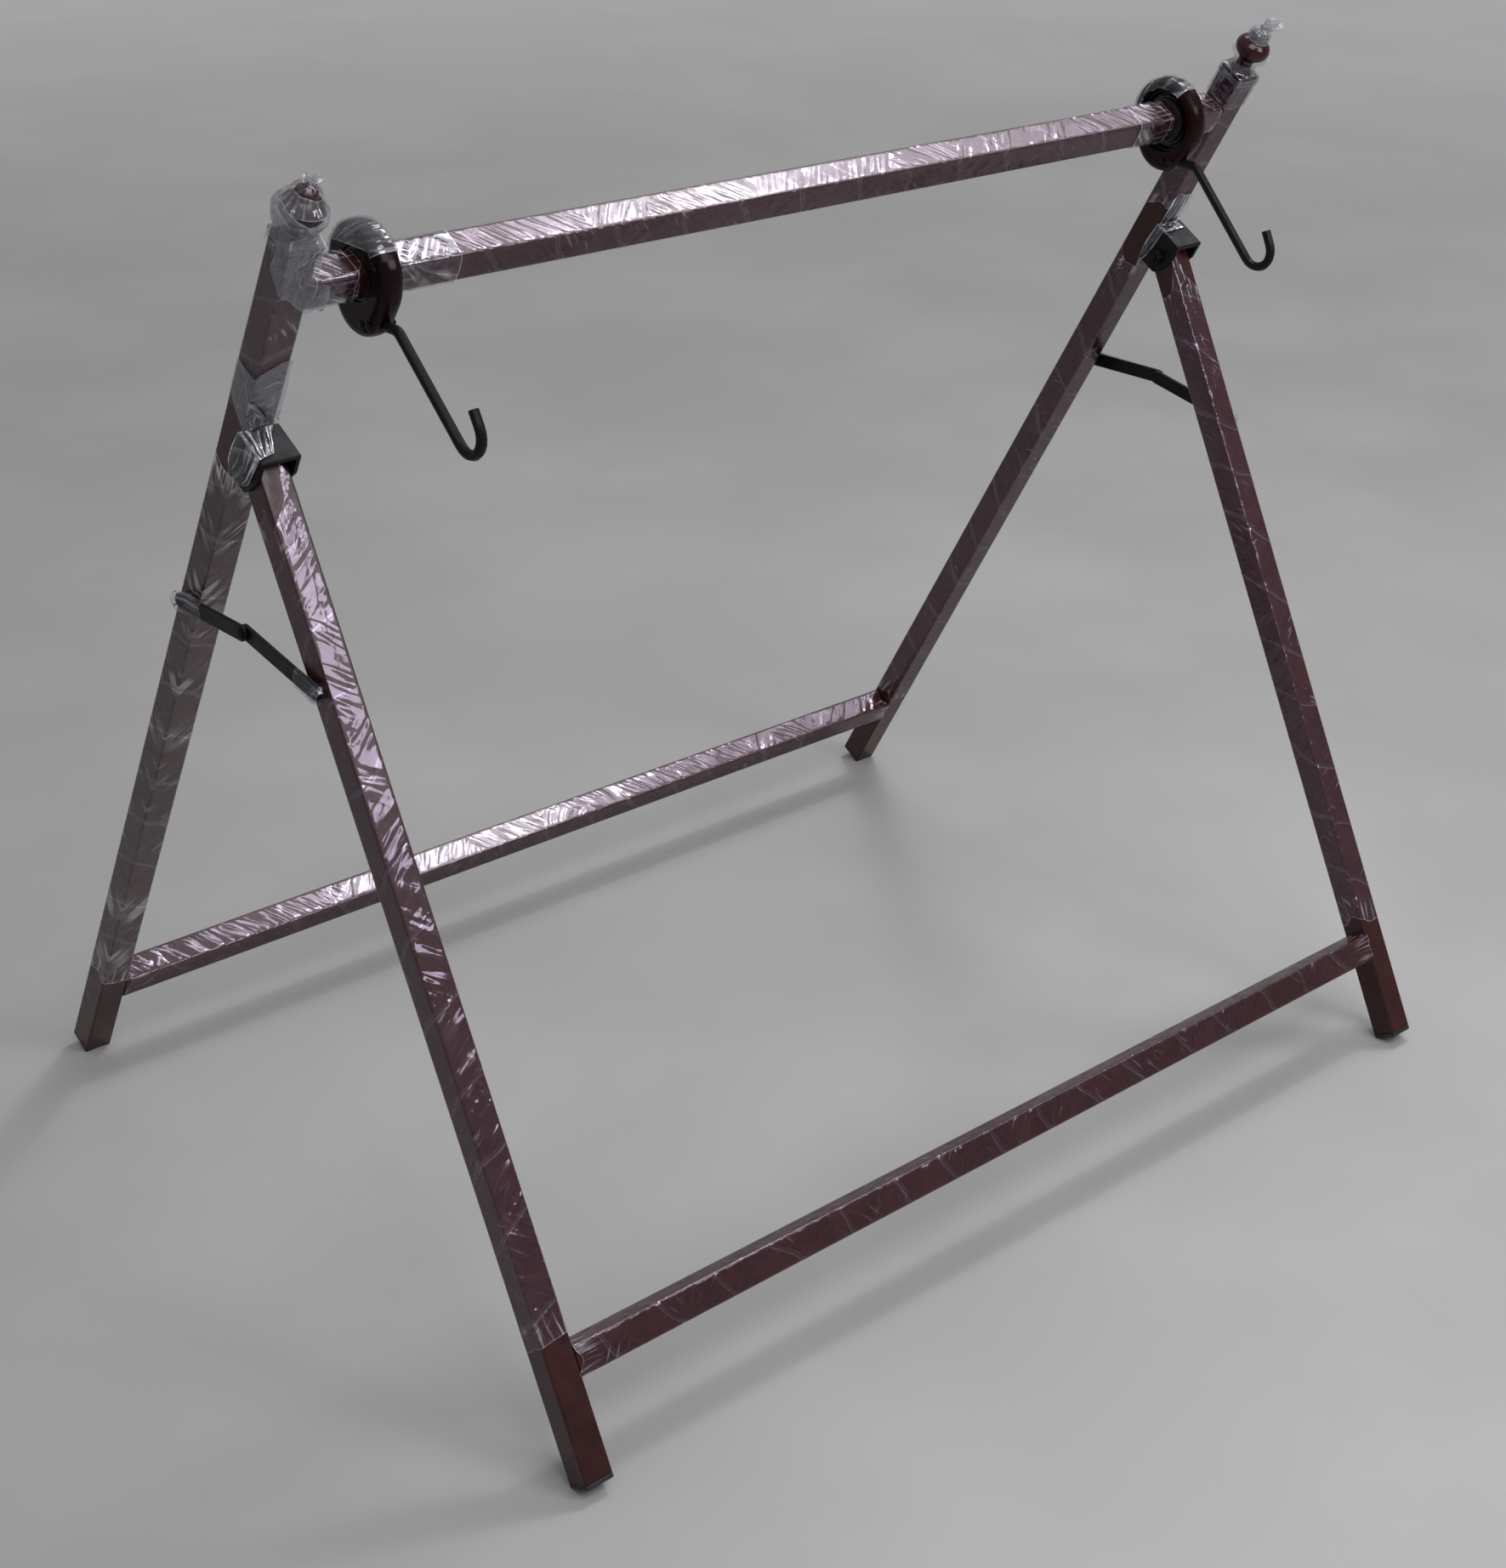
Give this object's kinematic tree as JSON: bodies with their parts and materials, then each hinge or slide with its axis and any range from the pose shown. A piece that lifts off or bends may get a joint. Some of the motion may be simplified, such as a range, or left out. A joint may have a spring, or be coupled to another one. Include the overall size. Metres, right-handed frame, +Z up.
{
  "type": "folding cradle stand",
  "caption": "Folding square-tube steel A-frame stand for a hanging baby cradle, with ball-bearing hangers and J-hooks on the top bar and folding stays between the legs.",
  "frame": {"origin": "on the floor, under the middle of the stand", "axes": "+X along the top bar to the right as seen from the front, -Y towards the front frame, +Z up"},
  "size_m": [1.0142, 0.8012, 0.9164],
  "materials": {
    "maroon_paint": "gloss paint",
    "black_paint": "gloss paint",
    "hanger_paint": "gloss paint",
    "black_plastic": "moulded",
    "finial_plastic": "gloss",
    "plated_steel": "zinc plated",
    "bearing_steel": "ground"
  },
  "bodies": {
    "back_frame": {"back_leg_left": "maroon_paint", "back_leg_right": "maroon_paint", "top_bar": "maroon_paint", "back_rail": "maroon_paint", "finial_left": "finial_plastic", "finial_right": "finial_plastic", "back_foot_cap_left": "black_plastic", "back_foot_cap_right": "black_plastic", "hinge_bracket_left": "black_paint", "hinge_bracket_right": "black_paint", "hinge_bolt_left": "black_paint", "hinge_bolt_right": "black_paint", "hinge_nut_left": "black_paint", "hinge_nut_right": "black_paint", "stay_spacer_left": "plated_steel", "stay_spacer_right": "plated_steel", "stay_top_rivet_left": "black_paint", "stay_top_rivet_right": "black_paint", "hanger_collar_left": "black_plastic", "hanger_collar_right": "black_plastic", "inner_race_left": "bearing_steel", "inner_race_right": "bearing_steel"},
    "front_frame": {"front_leg_left": "maroon_paint", "front_leg_right": "maroon_paint", "front_rail": "maroon_paint", "front_foot_cap_left": "black_plastic", "front_foot_cap_right": "black_plastic", "hinge_bush_left": "plated_steel", "hinge_bush_right": "plated_steel"},
    "stay_left_upper": {"stay_upper_link_left": "black_paint"},
    "stay_left_lower": {"stay_lower_link_left": "black_paint", "stay_knee_rivet_left": "black_paint", "stay_foot_rivet_left": "black_paint", "stay_washer_left": "plated_steel"},
    "stay_right_upper": {"stay_upper_link_right": "black_paint"},
    "stay_right_lower": {"stay_lower_link_right": "black_paint", "stay_knee_rivet_right": "black_paint", "stay_foot_rivet_right": "black_paint", "stay_washer_right": "plated_steel"},
    "hanger_left": {"hanger_housing_left": "hanger_paint", "hanger_hook_left": "black_paint", "hook_rivet_inner_left": "black_paint", "hook_rivet_outer_left": "black_paint", "outer_race_left": "bearing_steel", "ball_cage_left": "bearing_steel", "bearing_retainer_left": "black_paint"},
    "hanger_right": {"hanger_housing_right": "hanger_paint", "hanger_hook_right": "black_paint", "hook_rivet_inner_right": "black_paint", "hook_rivet_outer_right": "black_paint", "outer_race_right": "bearing_steel", "ball_cage_right": "bearing_steel", "bearing_retainer_right": "black_paint"}
  },
  "joints": [
    {"name": "front_fold", "type": "hinge", "parent": "back_frame", "child": "front_frame", "pos_m": [0, -0.01706, 0.69354], "axis": [1, 0, 0], "range_deg": [0, 56]},
    {"name": "stay_left_top", "type": "hinge", "parent": "back_frame", "child": "stay_left_upper", "pos_m": [-0.50315, 0.08975, 0.55944], "axis": [1, 0, 0], "range_deg": [-65, 0]},
    {"name": "stay_left_knee", "type": "hinge", "parent": "stay_left_upper", "child": "stay_left_lower", "pos_m": [-0.49985, -0.00112, 0.56421], "axis": [1, 0, 0], "range_deg": [0, 149]},
    {"name": "stay_right_top", "type": "hinge", "parent": "back_frame", "child": "stay_right_upper", "pos_m": [0.50315, 0.08975, 0.55944], "axis": [1, 0, 0], "range_deg": [-65, 0]},
    {"name": "stay_right_knee", "type": "hinge", "parent": "stay_right_upper", "child": "stay_right_lower", "pos_m": [0.49985, -0.00112, 0.56421], "axis": [1, 0, 0], "range_deg": [0, 149]},
    {"name": "hanger_left_swing", "type": "hinge", "parent": "back_frame", "child": "hanger_left", "pos_m": [-0.41775, -0.06036, 0.83637], "axis": [1, 0, 0], "continuous": true},
    {"name": "hanger_right_swing", "type": "hinge", "parent": "back_frame", "child": "hanger_right", "pos_m": [0.41775, -0.06036, 0.83637], "axis": [1, 0, 0], "continuous": true}
  ],
  "couplings": [
    {"joint": "stay_left_top", "follows": "front_fold", "ratio": -1.15},
    {"joint": "stay_left_knee", "follows": "front_fold", "ratio": 2.6416},
    {"joint": "stay_right_top", "follows": "front_fold", "ratio": -1.15},
    {"joint": "stay_right_knee", "follows": "front_fold", "ratio": 2.6416}
  ]
}
